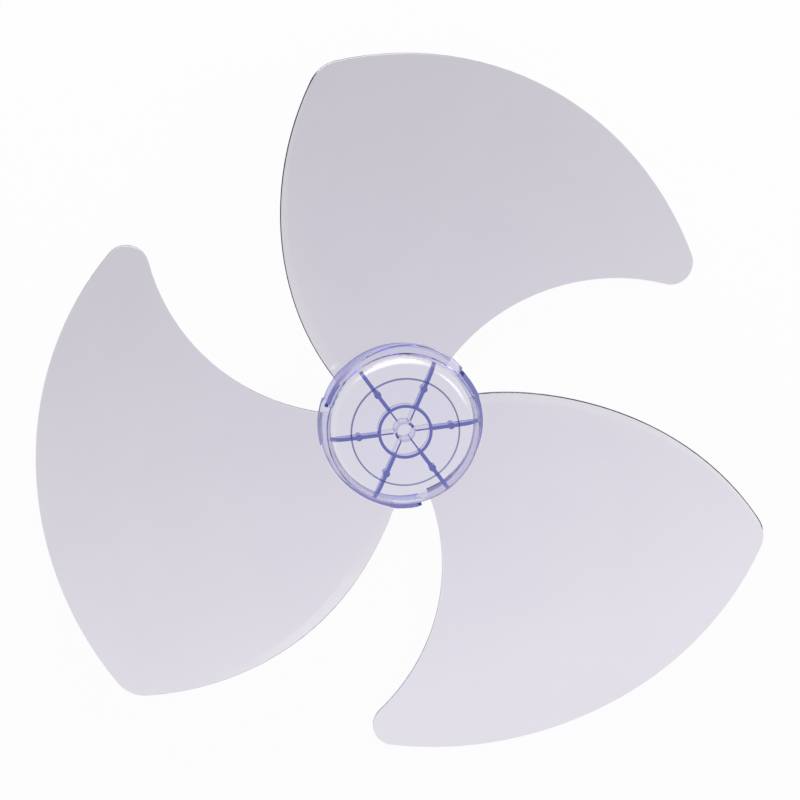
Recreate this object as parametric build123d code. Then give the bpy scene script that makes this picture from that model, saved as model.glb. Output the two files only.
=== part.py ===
from build123d import *
import os
from math import acos, atan2, cos, degrees, hypot, radians, sin, tan

# Three-blade fan blade, moulded in one piece in clear plastic.
# Millimetres. The shaft axis is Z and the front of the fan faces +Z. A stiffening rib lies along +X.
# Heights are counted from the hub's rear rim; the finished part has its origin at the bore's mouth.
# Seen from the front the fan turns clockwise.

blade_count = 3

# Plan of the first blade: each edge is one arc, given by its centre and radius.
leading_centre = (107.4, -47.1)
leading_radius = 109.3
outer_centre = (-5.3, 25.0)
outer_radius = 174.6
trailing_centre = (98.8, 108.1)
trailing_radius = 152.7
leading_tip_round = 11.7
trailing_corner_round = 18.3

# Middle surface of the blade: four straight sections lie across its direction and widen towards the tip.
# Each is a parabola through its heights at the leading end, in the middle and at the trailing end.
blade_direction = 55.0
section_places = (40.0, 90.0, 140.0, 190.0)
section_leading_ends = (-30.0, -150.0)
section_trailing_ends = (80.0, 130.0)
leading_heights = (1.7, -2.5, -6.5, -25.6)
middle_heights = (4.8, 2.7, 2.3, -4.3)
trailing_heights = (23.2, 23.2, 24.2, 24.2)

# Sheet of the blade, its broken front edges, and the bevel that thins the rear of its trailing edge.
root_thickness = 2.6
tip_thickness = 1.8
edge_break = 0.5
bevel_root_width = 6.5
bevel_tip_width = 1.5
bevel_root_depth = 1.0
bevel_tip_depth = 0.4

# Hub: a cup that is open to the rear, with a raised crown on its front, set in from the rim's radius.
rim_radius = 43.6
cup_height = 25.4
wall_draft = 10.0
wall_thickness = 2.0
shoulder_round = 10.2
crown_inset = 15.2
crown_height = 0.6

# Wall behind the blades, set in from the rim and leaning the other way. It runs on under a ledge past
# each trailing root, over a share of the gap to the next blade.
rear_wall_inset = 0.7
rear_wall_lean = 0.3
ledge_share = 0.62
ledge_run_in = 3.0

# How far the roots of the blades and the ledges reach inside the rear wall, to meet the cup's wall.
root_depth = 1.0

# Stiffening ribs and ring behind the front face, with a round pad on each rib.
rib_count = 6
rib_thickness = 2.0
rib_depth = 5.0
ring_radius = 13.6
ring_thickness = 1.6
pad_diameter = 3.7
pad_position = 24.4
pad_projection = 0.4

# Boss for the shaft, with thin webs and a slot for the shaft's cross pin.
shaft_diameter = 8.0
shaft_clearance = 0.1
boss_wall = 1.4
boss_depth = 9.6
web_thickness = 0.8
slot_width = 3.0
slot_depth = 3.5

# How far joined forms run into each other.
overlap = 0.6

# How far the blade's surfaces reach past the end sections and, as a share of their width, past their ends.
root_reach = 40.0
tip_reach = 10.0
across_reach = 0.2

# Points along and across a surface of the blade, and how closely its smooth patch keeps to them.
span_steps = 10
across_steps = 8
fit_tolerance = 0.02
fit_degrees = (6, 8)

rib_pitch = 360.0 / rib_count
inner_face = cup_height - wall_thickness
crown_radius = rim_radius - crown_inset
rear_wall_radius = rim_radius - rear_wall_inset
ledge_radius = rear_wall_radius + rear_wall_lean
rear_inner_radius = rear_wall_radius - wall_thickness
root_radius = rear_inner_radius - root_depth
bore_radius = shaft_diameter / 2 + shaft_clearance
boss_radius = bore_radius + boss_wall
boss_end = inner_face - boss_depth
tip_radius = hypot(*outer_centre) + outer_radius
tall = 4 * cup_height


def edge_angle(centre, radius, r):
    """Angle at which an edge's arc crosses the circle of radius r about the shaft."""
    distance = hypot(*centre)
    cosine = (r * r + distance * distance - radius * radius) / (2 * distance * r)
    return atan2(centre[1], centre[0]) + acos(max(-1.0, min(1.0, cosine)))


def through(places, values, at):
    """Smooth curve through the values at their places."""
    total = 0.0
    for i, value in enumerate(values):
        weight = 1.0
        for j, place in enumerate(places):
            if j != i:
                weight *= (at - place) / (places[i] - place)
        total += weight * value
    return total


def section_point(along, share):
    """Plan point on the section at a distance along the blade, a share of the way to its trailing end."""
    limits = (section_places[0], section_places[-1])
    leading = through(limits, section_leading_ends, along)
    trailing = through(limits, section_trailing_ends, along)
    across = leading + share * (trailing - leading)
    turn = radians(blade_direction)
    return along * cos(turn) - across * sin(turn), along * sin(turn) + across * cos(turn)


def middle_height(x, y):
    """Height of the blade's middle surface over a plan point."""
    turn = radians(blade_direction)
    along = x * cos(turn) + y * sin(turn)
    across = y * cos(turn) - x * sin(turn)
    limits = (section_places[0], section_places[-1])
    leading = through(limits, section_leading_ends, along)
    trailing = through(limits, section_trailing_ends, along)
    curves = (leading_heights, middle_heights, trailing_heights)
    heights = [through(section_places, curve, along) for curve in curves]
    return through((0.0, 0.5, 1.0), heights, (across - leading) / (trailing - leading))


def root_to_tip(root_value, tip_value, x, y):
    """Even change from the hub to the blade's tip."""
    return root_value + (tip_value - root_value) * (hypot(x, y) - rim_radius) / (tip_radius - rim_radius)


def half_thickness(x, y):
    """Half the thickness of the sheet."""
    return root_to_tip(root_thickness, tip_thickness, x, y) / 2


def smooth_patch(grid):
    """Smooth face through a grid of points."""
    lowest, highest = fit_degrees
    return Face.make_surface_from_array_of_points(grid, tol=fit_tolerance, min_deg=lowest, max_deg=highest)


def blade_surface(side):
    """Surface of the blade, larger than its outline: side 1 is its front, -1 its rear and 0 its middle."""
    first = section_places[0] - root_reach
    last = section_places[-1] + tip_reach
    grid = []
    for i in range(span_steps + 1):
        along = first + (last - first) * i / span_steps
        row = []
        for j in range(across_steps + 1):
            share = (1 + 2 * across_reach) * j / across_steps - across_reach
            x, y = section_point(along, share)
            row.append(Vector(x, y, middle_height(x, y) + side * half_thickness(x, y)))
        grid.append(row)
    return smooth_patch(grid)


def bevel_surface():
    """Surface of the bevel: it rises from the rear face, at the bevel's width, to the trailing edge."""
    grid = []
    for i in range(span_steps + 1):
        r = root_radius + (tip_radius + overlap - root_radius) * i / span_steps
        angle = edge_angle(trailing_centre, trailing_radius, r)
        edge = Vector(r * cos(angle), r * sin(angle))
        inwards = (Vector(*trailing_centre) - edge).normalized()
        row = []
        for j in range(across_steps + 1):
            distance = 2 * bevel_root_width * j / across_steps - overlap
            point = edge + inwards * distance
            width = root_to_tip(bevel_root_width, bevel_tip_width, point.X, point.Y)
            depth = root_to_tip(bevel_root_depth, bevel_tip_depth, point.X, point.Y)
            lift = depth * (1 - distance / width) - half_thickness(point.X, point.Y)
            row.append(Vector(point.X, point.Y, middle_height(point.X, point.Y) + lift))
        grid.append(row)
    return smooth_patch(grid)


def blade_plan(inner_radius):
    """Outline of the first blade seen from the front, from a circle about the shaft outwards."""
    outline = Pos(*trailing_centre) * Circle(trailing_radius)
    outline &= Pos(*outer_centre) * Circle(outer_radius)
    outline -= Pos(*leading_centre) * Circle(leading_radius)
    outline -= Circle(inner_radius)
    outline = fillet(outline.vertices().sort_by(Axis.X)[-1], leading_tip_round)
    return fillet(outline.vertices().sort_by(Axis.Y)[-1], trailing_corner_round)


def blade_sheet():
    """One blade, cut to its outline, with the edges of its front broken and its trailing edge bevelled."""
    sheet = extrude(blade_plan(root_radius), amount=tall, both=True)
    sheet &= extrude(blade_surface(1), amount=tall, dir=(0, 0, -1))
    sheet &= extrude(blade_surface(-1), amount=tall, dir=(0, 0, 1))
    front = sheet.faces().sort_by(SortBy.AREA)[-2:].sort_by(Axis.Z)[-1]
    free_edges = [edge for edge in front.edges() if hypot(edge.center().X, edge.center().Y) > rim_radius]
    sheet = chamfer(free_edges, edge_break)
    return sheet - extrude(bevel_surface(), amount=tall, dir=(0, 0, -1))


def sector(radius, start, span):
    """Flat sector of a disc, from a start angle and over a span in degrees."""
    middle = radians(start + span / 2)
    begin = radians(start)
    end = radians(start + span)
    rim_points = [(radius * cos(a), radius * sin(a)) for a in (begin, middle, end)]
    return make_face(Line((0, 0), rim_points[0]) + ThreePointArc(*rim_points) + Line(rim_points[2], (0, 0)))


def around(shape, count):
    """Copies of a shape, evenly spaced about the shaft."""
    return [Rot(0, 0, 360.0 / count * i) * shape for i in range(count)]


def cup_profile(base_radius, height, corner_round):
    """Half of a cup's outline in the XZ plane, with a rounded shoulder."""
    front_radius = base_radius - height * tan(radians(wall_draft))
    corners = [(0, 0), (base_radius, 0), (front_radius, height), (0, height)]
    outline = make_face(Polyline(*corners, close=True))
    shoulder = outline.vertices().sort_by(Axis.X)[-2]
    return Plane.XZ * fillet(shoulder, corner_round)


# Hub cup and crown.
wall_across = wall_thickness / cos(radians(wall_draft))
envelope = revolve(cup_profile(rim_radius, cup_height, shoulder_round), Axis.Z)
cavity = revolve(cup_profile(rim_radius - wall_across, inner_face, shoulder_round - wall_thickness), Axis.Z)
crown = Pos(0, 0, cup_height) * extrude(Circle(crown_radius), amount=crown_height)
hub = envelope - cavity + crown

# Behind each blade, and behind the ledge past its trailing root, the rear wall replaces the cup's wall.
ledge_turn = edge_angle(trailing_centre, trailing_radius, ledge_radius)
ledge_height = middle_height(ledge_radius * cos(ledge_turn), ledge_radius * sin(ledge_turn))
ledge_start = degrees(ledge_turn)
gap_end = degrees(edge_angle(leading_centre, leading_radius, ledge_radius)) + 360.0 / blade_count
ledge_span = ledge_share * (gap_end - ledge_start)

cut_radius = root_radius - wall_thickness
hub_disc = extrude(Circle(rim_radius + overlap), amount=tall, both=True)
behind_blade = extrude(blade_plan(cut_radius), amount=tall, both=True) & hub_disc
behind_blade &= extrude(blade_surface(0), amount=tall, dir=(0, 0, -1))
ledge_sector = sector(rim_radius + overlap, ledge_start - ledge_run_in, ledge_span + ledge_run_in)
behind_ledge = Pos(0, 0, ledge_height) * extrude(ledge_sector - Circle(cut_radius), amount=-tall)
behind = around(behind_blade + behind_ledge, blade_count)
hub -= behind

on_rim = (Align.CENTER, Align.CENTER, Align.MIN)
rear_envelope = Cone(rear_wall_radius, ledge_radius, ledge_height, align=on_rim)
rear_cavity = Cone(rear_inner_radius, ledge_radius - wall_thickness, ledge_height, align=on_rim)
rear_wall = rear_envelope - rear_cavity
hub += [rear_wall & space for space in behind]

ledge_plan = (ledge_sector & Circle(ledge_radius)) - Circle(root_radius)
ledge = Pos(0, 0, ledge_height) * extrude(ledge_plan, amount=root_thickness / 2)
hub += around(ledge, blade_count)

step_length = rim_radius - cut_radius
step_plan = Pos(cut_radius + step_length / 2, wall_thickness / 2) * Rectangle(step_length, wall_thickness)
step_wall = Rot(0, 0, ledge_start + ledge_span) * extrude(step_plan, amount=ledge_height)
step_wall = (step_wall & (envelope + rear_envelope)) - (cavity & rear_cavity)
hub += around(step_wall, blade_count)

# Ribs, ring and pads.
rib_height = rib_depth + wall_thickness
ring_hole = Circle(ring_radius - ring_thickness / 2)
rib_plan = Pos(rim_radius / 2, 0) * Rectangle(rim_radius, rib_thickness) - ring_hole
rib = Pos(0, 0, inner_face - rib_depth) * extrude(rib_plan, amount=rib_height)
hub += around(rib & envelope, rib_count)
ring_plan = Circle(ring_radius + ring_thickness / 2) - ring_hole
hub += Pos(0, 0, inner_face - rib_depth) * extrude(ring_plan, amount=rib_depth + overlap)
pad_height = rib_depth + pad_projection
pad_plan = Pos(pad_position, 0) * Circle(pad_diameter / 2)
pad = Pos(0, 0, inner_face - pad_height) * extrude(pad_plan, amount=pad_height + overlap)
hub += around(pad, rib_count)

# Shaft boss with its webs, bore and cross-pin slot.
boss = Pos(0, 0, boss_end) * extrude(Circle(boss_radius), amount=boss_depth + overlap)
web_plan = Pos(ring_radius / 2, 0) * Rectangle(ring_radius, web_thickness)
web = Pos(0, 0, boss_end) * extrude(web_plan, amount=boss_depth + overlap)
hub += [boss] + around(web, rib_count)
hub -= Pos(0, 0, boss_end) * extrude(Circle(bore_radius), amount=boss_depth)
slot_plan = Rectangle(2 * (boss_radius + overlap), slot_width)
hub -= Rot(0, 0, rib_pitch / 2) * Pos(0, 0, boss_end) * extrude(slot_plan, amount=slot_depth)

fan_blade = Pos(0, 0, -boss_end) * (hub + around(blade_sheet(), blade_count))

os.makedirs("parts", exist_ok=True)
export_step(fan_blade, "parts/fan_blade.step")
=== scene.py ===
from math import radians

import bmesh
import bpy
from bpy.props import FloatProperty, FloatVectorProperty, IntProperty, PointerProperty
from bpy.types import NodeSocket, Operator, Panel, PropertyGroup
from mathutils import Matrix, Vector


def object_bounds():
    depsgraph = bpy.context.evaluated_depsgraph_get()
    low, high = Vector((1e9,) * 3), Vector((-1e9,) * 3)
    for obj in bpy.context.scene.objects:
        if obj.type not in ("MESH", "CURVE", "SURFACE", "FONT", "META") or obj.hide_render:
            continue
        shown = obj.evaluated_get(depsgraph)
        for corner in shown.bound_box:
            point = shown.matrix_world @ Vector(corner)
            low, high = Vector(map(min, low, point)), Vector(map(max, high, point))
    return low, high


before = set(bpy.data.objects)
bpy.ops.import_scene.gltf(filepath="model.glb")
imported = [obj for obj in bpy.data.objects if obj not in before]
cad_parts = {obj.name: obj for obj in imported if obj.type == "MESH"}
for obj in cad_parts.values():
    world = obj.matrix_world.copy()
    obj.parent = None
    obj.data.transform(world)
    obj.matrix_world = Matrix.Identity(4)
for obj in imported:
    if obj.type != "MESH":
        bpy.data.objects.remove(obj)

bl_info = {
    "name": "Clear Fan Blade",
    "version": (1, 0, 0),
    "blender": (4, 5, 0),
    "location": "View3D > Sidebar > Fan Blade",
    "description": "Dresses a clear moulded fan blade and sets up its studio",
    "category": "Object",
}

cad_low, cad_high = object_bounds()
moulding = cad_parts["fan_blade"]

# Patterns in the plastic: how many there are per metre, how fine they are and how far flow lines bend.
flow_scale = 14.0
flow_detail = 3.0
flow_bend = 1.5
haze_scale = 60.0
haze_detail = 4.0
wave_detail = 1.0

# A face is flat or upright by the share of its normal that points along the shaft.
flat_share = 0.95
upright_begin = 0.24
upright_full = 0.04

# How near a face lies to the level or radius that it belongs to, in metres.
end_reach = 0.001
mouth_reach = 0.0006
step_reach = 0.0004

# Share of the painted rib shade at the crown's step, painted there as a dark line, and on the rim, where it
# pales between two places along Y as a painted reflection.
step_line_shade = 0.75
rim_share = 0.85
rim_share_top = 0.15
rim_fade_begin = 0.024
rim_fade_end = 0.034

# Watts per square metre of lamp that make its middle one unit bright.
lamp_watts = 4.0


class ClearPlasticSettings(PropertyGroup):
    """Finish of the clear moulding"""

    tint: FloatVectorProperty(
        name="Tint",
        description="Colour that light keeps at the faces of one sheet of the plastic",
        subtype="COLOR",
        size=3,
        min=0.0,
        max=1.0,
        default=(0.92, 0.885, 0.885),
    )
    flow_tint: FloatVectorProperty(
        name="Flow tint",
        description="Colour of the sheet where the melt flowed together more slowly",
        subtype="COLOR",
        size=3,
        min=0.0,
        max=1.0,
        default=(0.88, 0.845, 0.855),
    )
    hub_tint: FloatVectorProperty(
        name="Hub tint",
        description="Colour that light keeps at the faces of the hub",
        subtype="COLOR",
        size=3,
        min=0.0,
        max=1.0,
        default=(0.92, 0.90, 0.93),
    )
    hub_radius: FloatProperty(
        name="Hub radius",
        description="Distance from the shaft's axis to the outside of the hub",
        unit="LENGTH",
        min=0.0,
        default=0.0437,
    )
    # Painted shade: upright faces take this deep blue, partly the plastic's own blue seen through its depth,
    # partly painted shade along edges and rib sides.
    painted_edge_shade: FloatVectorProperty(
        name="Painted edge shade",
        description="Colour that light keeps at upright faces, such as edges and the sides of ribs",
        subtype="COLOR",
        size=3,
        min=0.0,
        max=1.0,
        default=(0.48, 0.51, 0.90),
    )
    # Painted shade: the rear ends of ribs, the ring, the webs and the rim are painted this dark blue.
    painted_rib_shade: FloatVectorProperty(
        name="Painted rib shade",
        description="Colour that light keeps at the rear ends of ribs and rings, which catch it",
        subtype="COLOR",
        size=3,
        min=0.0,
        max=1.0,
        default=(0.05, 0.06, 0.30),
    )
    rib_level: FloatProperty(
        name="Rib level",
        description="Height about which the rear ends of the ribs and the ring lie",
        unit="LENGTH",
        default=0.0043,
    )
    rim_level: FloatProperty(
        name="Rim level",
        description="Height of the hub's rear rim",
        unit="LENGTH",
        default=-0.0138,
    )
    ring_radius: FloatProperty(
        name="Ring radius",
        description="Distance from the shaft's axis to the outside of the ring",
        unit="LENGTH",
        min=0.0,
        default=0.0146,
    )
    boss_radius: FloatProperty(
        name="Boss radius",
        description="Distance from the shaft's axis to the outside of the boss",
        unit="LENGTH",
        min=0.0,
        default=0.0057,
    )
    crown_radius: FloatProperty(
        name="Crown radius",
        description="Distance from the shaft's axis to the step around the hub's crown",
        unit="LENGTH",
        min=0.0,
        default=0.0284,
    )
    depth_colour: FloatVectorProperty(
        name="Depth colour",
        description="Colour that the plastic takes on where light runs a long way inside it",
        subtype="COLOR",
        size=3,
        min=0.0,
        max=1.0,
        default=(0.06, 0.02, 0.74),
    )
    depth_density: FloatProperty(
        name="Depth density",
        description="How strongly the depth colour builds up, per metre of plastic",
        min=0.0,
        default=35.0,
    )
    refraction: FloatProperty(
        name="Refractive index",
        description="How strongly the plastic bends light",
        min=1.0,
        max=2.0,
        default=1.57,
    )
    polish: FloatProperty(
        name="Polish",
        description="Roughness of the polished faces",
        subtype="FACTOR",
        min=0.0,
        max=1.0,
        default=0.02,
    )
    wave_height: FloatProperty(
        name="Wave height",
        description="Height of the slow waves that the mould leaves in the faces",
        unit="LENGTH",
        min=0.0,
        default=0.00003,
    )
    wave_length: FloatProperty(
        name="Wave length",
        description="Distance between the slow waves",
        unit="LENGTH",
        min=0.001,
        default=0.03,
    )


class StudioSettings(PropertyGroup):
    """Floor, lamps and camera"""

    floor_size: FloatProperty(
        name="Floor size",
        description="Side of the square floor",
        unit="LENGTH",
        min=0.1,
        default=6.0,
    )
    floor_shadow: FloatProperty(
        name="Floor shadow",
        description="Share of the floor's brightness that the lamps give and the object shades",
        subtype="FACTOR",
        min=0.0,
        max=1.0,
        default=0.04,
    )
    floor_paint: FloatProperty(
        name="Floor paint",
        description="How much of the lamps' light the floor gives back",
        subtype="FACTOR",
        min=0.0,
        max=1.0,
        default=0.9,
    )
    floor_level: FloatProperty(
        name="Floor level",
        description="Brightness of the floor's middle as the plastic shows it",
        subtype="FACTOR",
        min=0.0,
        max=1.0,
        default=0.87,
    )
    floor_slope: FloatVectorProperty(
        name="Floor slope",
        description="How that brightness grows per metre, as it does towards the lit side of a studio table",
        size=3,
        default=(0.2, -0.85, 0.0),
    )
    sky_colour: FloatVectorProperty(
        name="Sky colour",
        description="Colour of the studio overhead, which the hub's grooves and edges show",
        subtype="COLOR",
        size=3,
        min=0.0,
        max=1.0,
        default=(0.42, 0.46, 0.95),
    )
    sky_level: FloatProperty(
        name="Sky level",
        description="Brightness of the studio overhead",
        min=0.0,
        default=0.7,
    )
    horizon_level: FloatProperty(
        name="Horizon level",
        description="Brightness of the studio walls",
        min=0.0,
        default=0.9,
    )
    wall_top: FloatProperty(
        name="Wall top",
        description="Height share of the view up to which the studio walls stay bright",
        subtype="FACTOR",
        min=0.0,
        max=1.0,
        default=0.1,
    )
    ceiling_edge: FloatProperty(
        name="Ceiling edge",
        description="Height share of the view from which the studio overhead begins",
        subtype="FACTOR",
        min=0.0,
        max=1.0,
        default=0.6,
    )
    lamp_softness: FloatProperty(
        name="Lamp softness",
        description="Share of each lamp over which it fades towards its rim",
        subtype="FACTOR",
        min=0.01,
        max=1.0,
        default=0.7,
    )
    key_place: FloatVectorProperty(
        name="Key place",
        description="Place of the large soft lamp",
        subtype="TRANSLATION",
        size=3,
        default=(0.0, 1.3, 0.32),
    )
    key_size: FloatVectorProperty(
        name="Key size",
        description="Width and height of the large soft lamp",
        unit="LENGTH",
        size=2,
        min=0.01,
        default=(3.0, 1.2),
    )
    key_level: FloatProperty(
        name="Key level",
        description="Brightness of the large soft lamp behind the object",
        min=0.0,
        default=3.5,
    )
    side_place: FloatVectorProperty(
        name="Side place",
        description="Place of the small lamp at the side",
        subtype="TRANSLATION",
        size=3,
        default=(1.11, 0.43, 0.91),
    )
    side_size: FloatVectorProperty(
        name="Side size",
        description="Width and height of the small lamp",
        unit="LENGTH",
        size=2,
        min=0.01,
        default=(1.2, 0.6),
    )
    side_level: FloatProperty(
        name="Side level",
        description="Brightness of the small lamp at the side",
        min=0.0,
        default=3.5,
    )
    light_turns: IntProperty(
        name="Light turns",
        description="How often light may turn inside the clear plastic before it is lost",
        min=1,
        default=40,
    )
    camera_turn: FloatVectorProperty(
        name="Camera turn",
        description="Turns of the object about the camera's X, Y and Z axes",
        subtype="EULER",
        size=3,
        default=(radians(11.943), radians(6.702), radians(6.17)),
    )
    camera_place: FloatVectorProperty(
        name="Camera place",
        description="Place of the camera as seen from the aim point, along the camera's own axes",
        subtype="TRANSLATION",
        size=3,
        default=(-0.000787, 0.01312, 3.1086),
    )
    camera_aim: FloatProperty(
        name="Camera aim",
        description="Height of the point that the camera's place is counted from",
        unit="LENGTH",
        default=-0.0065,
    )
    lens: FloatProperty(
        name="Lens",
        description="Focal length of the camera in millimetres",
        min=1.0,
        default=266.6,
    )
    sensor_width: FloatProperty(
        name="Sensor width",
        description="Width of the camera's picture area in millimetres",
        min=1.0,
        default=36.0,
    )


def add_node(tree, kind, place, **values):
    """Adds a shader node at a place in the editor and sets its plain values."""
    node = tree.nodes.new(kind)
    node.location = place
    for name, value in values.items():
        setattr(node, name, value)
    return node


def feed(tree, socket, value):
    """Links a node's result to a socket, or sets the socket to a plain value."""
    if isinstance(value, NodeSocket):
        tree.links.new(value, socket)
    else:
        socket.default_value = value


def opaque(colour):
    """Gives a colour the full alpha that a node's socket asks for."""
    return (*colour, 1.0)


def grey(level):
    """Gives the even grey of this brightness, where 1 is white."""
    return opaque([level] * 3)


def calculate(tree, operation, place, *values):
    """Adds a math node with these values and gives its result."""
    node = add_node(tree, "ShaderNodeMath", place, operation=operation)
    for socket, value in zip(node.inputs, values):
        feed(tree, socket, value)
    return node.outputs["Value"]


def blend(tree, place, factor, first, second):
    """Adds a mix of two colours and gives its result."""
    node = add_node(tree, "ShaderNodeMix", place, data_type="RGBA")
    feed(tree, node.inputs["Factor"], factor)
    feed(tree, node.inputs["A"], first)
    feed(tree, node.inputs["B"], second)
    return node.outputs["Result"]


def ramp(tree, place, value, begin, end, first=0.0, last=1.0):
    """Adds a ramp that goes from first to last while the value goes from begin to end."""
    node = add_node(tree, "ShaderNodeMapRange", place)
    feed(tree, node.inputs["Value"], value)
    feed(tree, node.inputs["From Min"], begin)
    feed(tree, node.inputs["From Max"], end)
    feed(tree, node.inputs["To Min"], first)
    feed(tree, node.inputs["To Max"], last)
    return node.outputs["Result"]


def noise(tree, place, vector, scale, detail, distortion=0.0):
    """Adds a noise pattern and gives its value."""
    node = add_node(tree, "ShaderNodeTexNoise", place)
    feed(tree, node.inputs["Vector"], vector)
    feed(tree, node.inputs["Scale"], scale)
    feed(tree, node.inputs["Detail"], detail)
    feed(tree, node.inputs["Distortion"], distortion)
    return node.outputs["Fac"]


def parts_of(tree, place, vector):
    """Adds a node that takes a vector apart and gives its X, Y and Z."""
    node = add_node(tree, "ShaderNodeSeparateXYZ", place)
    feed(tree, node.inputs["Vector"], vector)
    return node.outputs


def distance_from_shaft(tree, place, vector):
    """Gives the distance between a point of the surface and the shaft's axis."""
    flat = add_node(tree, "ShaderNodeVectorMath", place, operation="MULTIPLY")
    size = add_node(tree, "ShaderNodeVectorMath", (place[0] + 200, place[1]), operation="LENGTH")
    feed(tree, flat.inputs[0], vector)
    feed(tree, flat.inputs[1], (1.0, 1.0, 0.0))
    feed(tree, size.inputs[0], flat.outputs["Vector"])
    return size.outputs["Value"]


def rear_end_shade(tree, given, spot, reach, tilt):
    """Mask of painted dark shade on the flat rear ends of the ribs, the ring, the webs and the rim, whose
    shade pales towards +Y as a painted reflection.
    """
    ribs = calculate(tree, "COMPARE", (-700, 1500), spot["Z"], given["Rib level"], end_reach)
    rim_level = calculate(tree, "COMPARE", (-700, 1300), spot["Z"], given["Rim level"], end_reach)
    # Painted reflection: the rim's painted shade pales towards +Y.
    rim_fade = ramp(tree, (-700, 1100), spot["Y"], rim_fade_begin, rim_fade_end, rim_share, rim_share_top)
    rim = calculate(tree, "MULTIPLY", (-500, 1300), rim_level, rim_fade)
    at_mouth = calculate(tree, "COMPARE", (-700, 1900), spot["Z"], 0.0, mouth_reach)
    past_boss = calculate(tree, "GREATER_THAN", (-700, 1700), reach, given["Boss radius"])
    webs = calculate(tree, "MULTIPLY", (-500, 1800), at_mouth, past_boss)
    ribs_and_rim = calculate(tree, "MAXIMUM", (-300, 1400), ribs, rim)
    ends = calculate(tree, "MAXIMUM", (-100, 1500), ribs_and_rim, webs)
    flat = calculate(tree, "GREATER_THAN", (-300, 1200), tilt, flat_share)
    return calculate(tree, "MULTIPLY", (100, 1400), ends, flat)


def moulding_colour(tree, given, where):
    """Colour of the plastic: flow lines, then the hub, painted shade on its upright faces and its rear ends,
    and a painted dark line at its step.
    """
    spot = parts_of(tree, (-1000, 900), where["Object"])
    reach = distance_from_shaft(tree, (-1100, 650), where["Object"])
    tilt = calculate(tree, "ABSOLUTE", (-700, 400), parts_of(tree, (-1000, 400), where["Normal"])["Z"])

    flow = noise(tree, (-700, 150), where["Object"], flow_scale, flow_detail, flow_bend)
    sheet = blend(tree, (-300, 150), flow, given["Clear"], given["Slow"])
    in_hub = calculate(tree, "LESS_THAN", (-500, 650), reach, given["Hub radius"])
    hub = blend(tree, (-100, 250), in_hub, sheet, given["Hub"])

    # Painted shade: upright faces past the ring are painted with the edge colour.
    upright = ramp(tree, (-500, 400), tilt, upright_begin, upright_full)
    past_ring = calculate(tree, "GREATER_THAN", (-500, 850), reach, given["Ring radius"])
    walls = calculate(tree, "MULTIPLY", (-300, 500), upright, past_ring)
    edge_shaded = blend(tree, (100, 300), walls, hub, given["Edge"])

    # Painted shade on the rear ends of ribs, the ring, the webs and the rim inside the hub.
    ends = rear_end_shade(tree, given, spot, reach, tilt)
    hub_end_shade = calculate(tree, "MULTIPLY", (250, 1000), ends, in_hub)
    # Painted shade: a dark line painted around the crown's step.
    near_step = calculate(tree, "COMPARE", (-300, 1000), reach, given["Crown radius"], step_reach)
    step = calculate(tree, "MULTIPLY", (-100, 1000), near_step, step_line_shade)
    lines = calculate(tree, "MAXIMUM", (400, 700), hub_end_shade, step)
    return blend(tree, (550, 300), lines, edge_shaded, given["Rib"])


def flow_group():
    """Node group for the tints, faint flow lines, painted shade and slow waves of a clear moulding."""
    group = bpy.data.node_groups.new("moulding_flow_and_shade", "ShaderNodeTree")
    sockets = group.interface
    for name in ("Clear", "Slow", "Hub", "Edge", "Rib"):
        sockets.new_socket(name, in_out="INPUT", socket_type="NodeSocketColor")
    radii = ("Hub radius", "Ring radius", "Boss radius", "Crown radius")
    for name in (*radii, "Rib level", "Rim level", "Polish", "Waves per metre"):
        sockets.new_socket(name, in_out="INPUT", socket_type="NodeSocketFloat")
    sockets.new_socket("Colour", in_out="OUTPUT", socket_type="NodeSocketColor")
    sockets.new_socket("Roughness", in_out="OUTPUT", socket_type="NodeSocketFloat")
    sockets.new_socket("Waves", in_out="OUTPUT", socket_type="NodeSocketFloat")

    given = add_node(group, "NodeGroupInput", (-1400, 0)).outputs
    result = add_node(group, "NodeGroupOutput", (800, 0)).inputs
    where = add_node(group, "ShaderNodeTexCoord", (-1400, 600)).outputs
    haze = noise(group, (-700, -100), where["Object"], haze_scale, haze_detail)
    rough = calculate(group, "MULTIPLY_ADD", (-300, -100), haze, given["Polish"], given["Polish"])
    waves = noise(group, (-700, -350), where["Object"], given["Waves per metre"], wave_detail)
    feed(group, result["Colour"], moulding_colour(group, given, where))
    feed(group, result["Roughness"], rough)
    feed(group, result["Waves"], waves)
    return group


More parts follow.
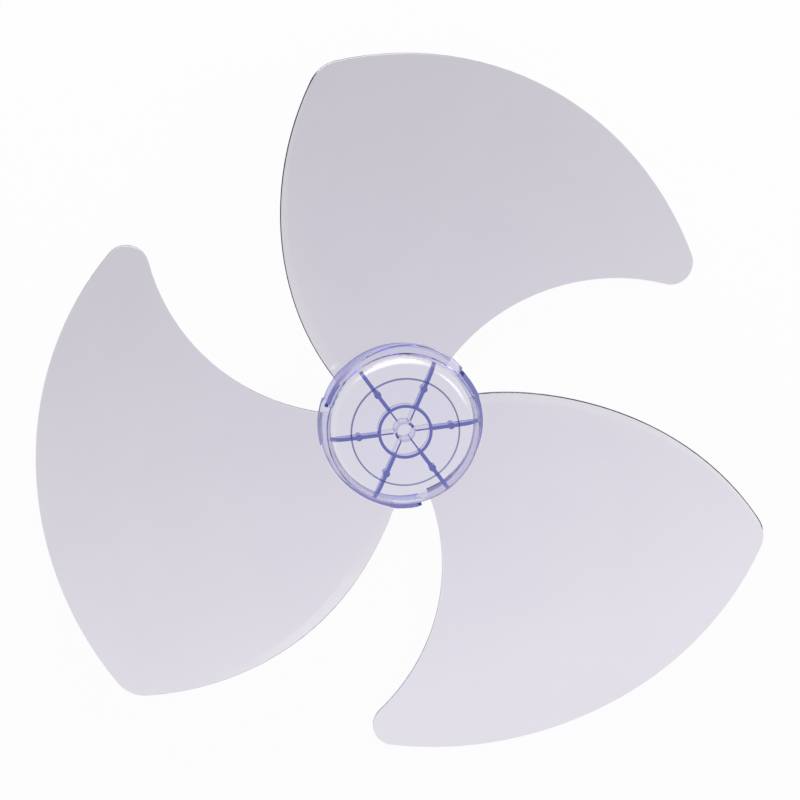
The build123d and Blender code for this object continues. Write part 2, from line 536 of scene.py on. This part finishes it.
def clear_plastic(settings):
    """Clear plastic with a grey-violet tint and painted blue shade along the ribs and edges."""
    material = bpy.data.materials.new("clear_plastic_polished")
    material.use_nodes = True
    tree = material.node_tree
    tree.nodes.clear()
    output = add_node(tree, "ShaderNodeOutputMaterial", (600, 0))
    plastic = add_node(tree, "ShaderNodeBsdfPrincipled", (250, 0))
    flow = add_node(tree, "ShaderNodeGroup", (-300, 0), node_tree=flow_group())
    bump = add_node(tree, "ShaderNodeBump", (0, -250))
    depth = add_node(tree, "ShaderNodeVolumeAbsorption", (250, -450))
    flow_values = {
        "Clear": opaque(settings.tint),
        "Slow": opaque(settings.flow_tint),
        "Hub": opaque(settings.hub_tint),
        "Edge": opaque(settings.painted_edge_shade),
        "Rib": opaque(settings.painted_rib_shade),
        "Hub radius": settings.hub_radius,
        "Ring radius": settings.ring_radius,
        "Boss radius": settings.boss_radius,
        "Crown radius": settings.crown_radius,
        "Rib level": settings.rib_level,
        "Rim level": settings.rim_level,
        "Polish": settings.polish,
        "Waves per metre": 1.0 / settings.wave_length,
    }
    for name, value in flow_values.items():
        feed(tree, flow.inputs[name], value)
    feed(tree, bump.inputs["Strength"], 1.0)
    feed(tree, bump.inputs["Distance"], settings.wave_height)
    feed(tree, bump.inputs["Height"], flow.outputs["Waves"])
    feed(tree, plastic.inputs["Base Color"], flow.outputs["Colour"])
    feed(tree, plastic.inputs["Roughness"], flow.outputs["Roughness"])
    feed(tree, plastic.inputs["Normal"], bump.outputs["Normal"])
    feed(tree, plastic.inputs["Metallic"], 0.0)
    feed(tree, plastic.inputs["IOR"], settings.refraction)
    feed(tree, plastic.inputs["Transmission Weight"], 1.0)
    feed(tree, depth.inputs["Color"], opaque(settings.depth_colour))
    feed(tree, depth.inputs["Density"], settings.depth_density)
    feed(tree, output.inputs["Surface"], plastic.outputs["BSDF"])
    feed(tree, output.inputs["Volume"], depth.outputs["Volume"])
    return material


def floor_white(settings):
    """White floor that still takes a faint shadow and that the plastic shows dimmer towards the rear."""
    material = bpy.data.materials.new("floor_white")
    material.use_nodes = True
    tree = material.node_tree
    tree.nodes.clear()
    output = add_node(tree, "ShaderNodeOutputMaterial", (700, 0))
    paint = add_node(tree, "ShaderNodeBsdfDiffuse", (100, -150))
    glow = add_node(tree, "ShaderNodeEmission", (100, 100))
    mixed = add_node(tree, "ShaderNodeMixShader", (450, 0))
    where = add_node(tree, "ShaderNodeTexCoord", (-900, 600)).outputs
    path = add_node(tree, "ShaderNodeLightPath", (-900, 250)).outputs
    slope = add_node(tree, "ShaderNodeVectorMath", (-700, 600), operation="DOT_PRODUCT")
    fall = add_node(tree, "ShaderNodeMath", (-500, 600), operation="ADD", use_clamp=True)
    feed(tree, slope.inputs[0], where["Object"])
    feed(tree, slope.inputs[1], settings.floor_slope)
    feed(tree, fall.inputs[0], slope.outputs["Value"])
    feed(tree, fall.inputs[1], settings.floor_level)
    level = calculate(tree, "MAXIMUM", (-300, 600), fall.outputs["Value"], path["Is Camera Ray"])
    mirrored = calculate(tree, "MAXIMUM", (-700, 250), path["Is Camera Ray"], path["Is Glossy Ray"])
    seen = calculate(tree, "MAXIMUM", (-500, 250), mirrored, path["Is Transmission Ray"])
    share = calculate(tree, "MULTIPLY", (-300, 250), seen, 1.0 - settings.floor_shadow)
    feed(tree, paint.inputs["Color"], grey(settings.floor_paint))
    feed(tree, glow.inputs["Color"], grey(1.0))
    feed(tree, glow.inputs["Strength"], level)
    feed(tree, mixed.inputs["Fac"], share)
    feed(tree, mixed.inputs[1], paint.outputs["BSDF"])
    feed(tree, mixed.inputs[2], glow.outputs["Emission"])
    feed(tree, output.inputs["Surface"], mixed.outputs["Shader"])
    return material


def studio_world(settings):
    """White where the camera sees it; to the plastic, bright walls that fade to a dim blue ceiling."""
    world = bpy.data.worlds.new("studio_world")
    world.use_nodes = True
    tree = world.node_tree
    tree.nodes.clear()
    output = add_node(tree, "ShaderNodeOutputWorld", (800, 0))
    background = add_node(tree, "ShaderNodeBackground", (600, 0))
    where = add_node(tree, "ShaderNodeTexCoord", (-700, 0)).outputs
    path = add_node(tree, "ShaderNodeLightPath", (0, 300)).outputs
    height = parts_of(tree, (-500, 0), where["Generated"])["Z"]
    fade = ramp(tree, (-250, 0), height, settings.wall_top, settings.ceiling_edge)
    ceiling = opaque([part * settings.sky_level for part in settings.sky_colour])
    shades = blend(tree, (0, 0), fade, grey(settings.horizon_level), ceiling)
    seen = blend(tree, (300, 0), path["Is Camera Ray"], shades, grey(1.0))
    feed(tree, background.inputs["Color"], seen)
    feed(tree, background.inputs["Strength"], 1.0)
    feed(tree, output.inputs["Surface"], background.outputs["Background"])
    return world


def soften_lamp(lamp, soft_share):
    """Lets a lamp fade smoothly from its middle to its rim."""
    lamp.use_nodes = True
    tree = lamp.node_tree
    tree.nodes.clear()
    output = add_node(tree, "ShaderNodeOutputLight", (600, 0))
    glow = add_node(tree, "ShaderNodeEmission", (400, 0))
    where = add_node(tree, "ShaderNodeNewGeometry", (-600, 0)).outputs
    centred = add_node(tree, "ShaderNodeVectorMath", (-400, 0), operation="MULTIPLY_ADD")
    round_fade = add_node(tree, "ShaderNodeTexGradient", (-200, 0), gradient_type="SPHERICAL")
    soft = add_node(tree, "ShaderNodeMapRange", (0, 0), interpolation_type="SMOOTHSTEP")
    feed(tree, centred.inputs[0], where["Parametric"])
    feed(tree, centred.inputs[1], (2.0, 2.0, 0.0))
    feed(tree, centred.inputs[2], (-1.0, -1.0, 0.0))
    feed(tree, round_fade.inputs["Vector"], centred.outputs["Vector"])
    feed(tree, soft.inputs["Value"], round_fade.outputs["Fac"])
    feed(tree, soft.inputs["From Max"], soft_share)
    feed(tree, glow.inputs["Strength"], soft.outputs["Result"])
    feed(tree, output.inputs["Surface"], glow.outputs["Emission"])


def add_lamp(name, place, size, level, soft_share):
    """Adds a soft lamp that faces the object, as bright in its middle as the level says."""
    lamp = bpy.data.lights.new(name, "AREA")
    lamp.shape = "RECTANGLE"
    lamp.size, lamp.size_y = size
    lamp.energy = lamp_watts * size[0] * size[1] * level
    soften_lamp(lamp, soft_share)
    holder = bpy.data.objects.new(name, lamp)
    holder.location = place
    holder.rotation_euler = (-Vector(place)).to_track_quat("-Z", "Y").to_euler()
    bpy.context.scene.collection.objects.link(holder)
    return holder


def add_floor(settings):
    """Adds the floor that the fan blade lies on."""
    shape = bmesh.new()
    bmesh.ops.create_grid(shape, x_segments=1, y_segments=1, size=settings.floor_size / 2)
    bmesh.ops.translate(shape, vec=(0.0, 0.0, cad_low[2]), verts=shape.verts)
    sheet = bpy.data.meshes.new("floor")
    shape.to_mesh(sheet)
    shape.free()
    floor = bpy.data.objects.new("floor", sheet)
    floor.data.materials.append(floor_white(settings))
    bpy.context.scene.collection.objects.link(floor)
    return floor


def add_camera(settings):
    """Adds the camera at the photograph's viewing angle."""
    turn = Matrix.Identity(3)
    for axis, angle in zip("XYZ", settings.camera_turn):
        turn = turn @ Matrix.Rotation(angle, 3, axis)
    place = turn.transposed() @ Vector(settings.camera_place)
    place.z += settings.camera_aim
    view = bpy.data.cameras.new("camera")
    view.lens = settings.lens
    view.sensor_width = settings.sensor_width
    camera = bpy.data.objects.new("camera", view)
    camera.matrix_world = Matrix.Translation(place) @ turn.transposed().to_4x4()
    bpy.context.scene.collection.objects.link(camera)
    return camera


class FANBLADE_OT_dress_moulding(Operator):
    """Give the moulded fan blade its clear plastic"""

    bl_idname = "fan_blade.dress_moulding"
    bl_label = "Dress Moulding"

    def execute(self, context):
        settings = context.scene.fan_blade_plastic
        moulding.data.materials.clear()
        moulding.data.materials.append(clear_plastic(settings))
        return {"FINISHED"}


class FANBLADE_OT_set_stage(Operator):
    """Add the white floor, the lamps, the studio's walls and the camera"""

    bl_idname = "fan_blade.set_stage"
    bl_label = "Set Stage"

    def execute(self, context):
        settings = context.scene.fan_blade_studio
        scene = context.scene
        scene.view_settings.view_transform = "Standard"
        scene.cycles.max_bounces = settings.light_turns
        scene.cycles.glossy_bounces = settings.light_turns
        scene.cycles.transmission_bounces = settings.light_turns

        add_floor(settings)
        scene.world = studio_world(settings)
        soft = settings.lamp_softness
        add_lamp("key_lamp", settings.key_place, settings.key_size, settings.key_level, soft)
        add_lamp("side_lamp", settings.side_place, settings.side_size, settings.side_level, soft)
        scene.camera = add_camera(settings)
        return {"FINISHED"}


class FANBLADE_PT_sidebar(Panel):
    """Lists the steps that dress the fan blade"""

    bl_idname = "FANBLADE_PT_sidebar"
    bl_label = "Fan Blade"
    bl_space_type = "VIEW_3D"
    bl_region_type = "UI"
    bl_category = "Fan Blade"

    def draw(self, context):
        layout = self.layout
        plastic = context.scene.fan_blade_plastic
        studio = context.scene.fan_blade_studio
        for name in plastic.__annotations__:
            layout.prop(plastic, name)
        layout.operator(FANBLADE_OT_dress_moulding.bl_idname)
        for name in studio.__annotations__:
            layout.prop(studio, name)
        layout.operator(FANBLADE_OT_set_stage.bl_idname)


classes = (
    ClearPlasticSettings,
    StudioSettings,
    FANBLADE_OT_dress_moulding,
    FANBLADE_OT_set_stage,
    FANBLADE_PT_sidebar,
)


def register():
    for item in classes:
        bpy.utils.register_class(item)
    bpy.types.Scene.fan_blade_plastic = PointerProperty(type=ClearPlasticSettings)
    bpy.types.Scene.fan_blade_studio = PointerProperty(type=StudioSettings)


def unregister():
    del bpy.types.Scene.fan_blade_studio
    del bpy.types.Scene.fan_blade_plastic
    for item in reversed(classes):
        bpy.utils.unregister_class(item)


def main():
    register()
    bpy.ops.fan_blade.dress_moulding()
    bpy.ops.fan_blade.set_stage()


if __name__ == "__main__":
    main()
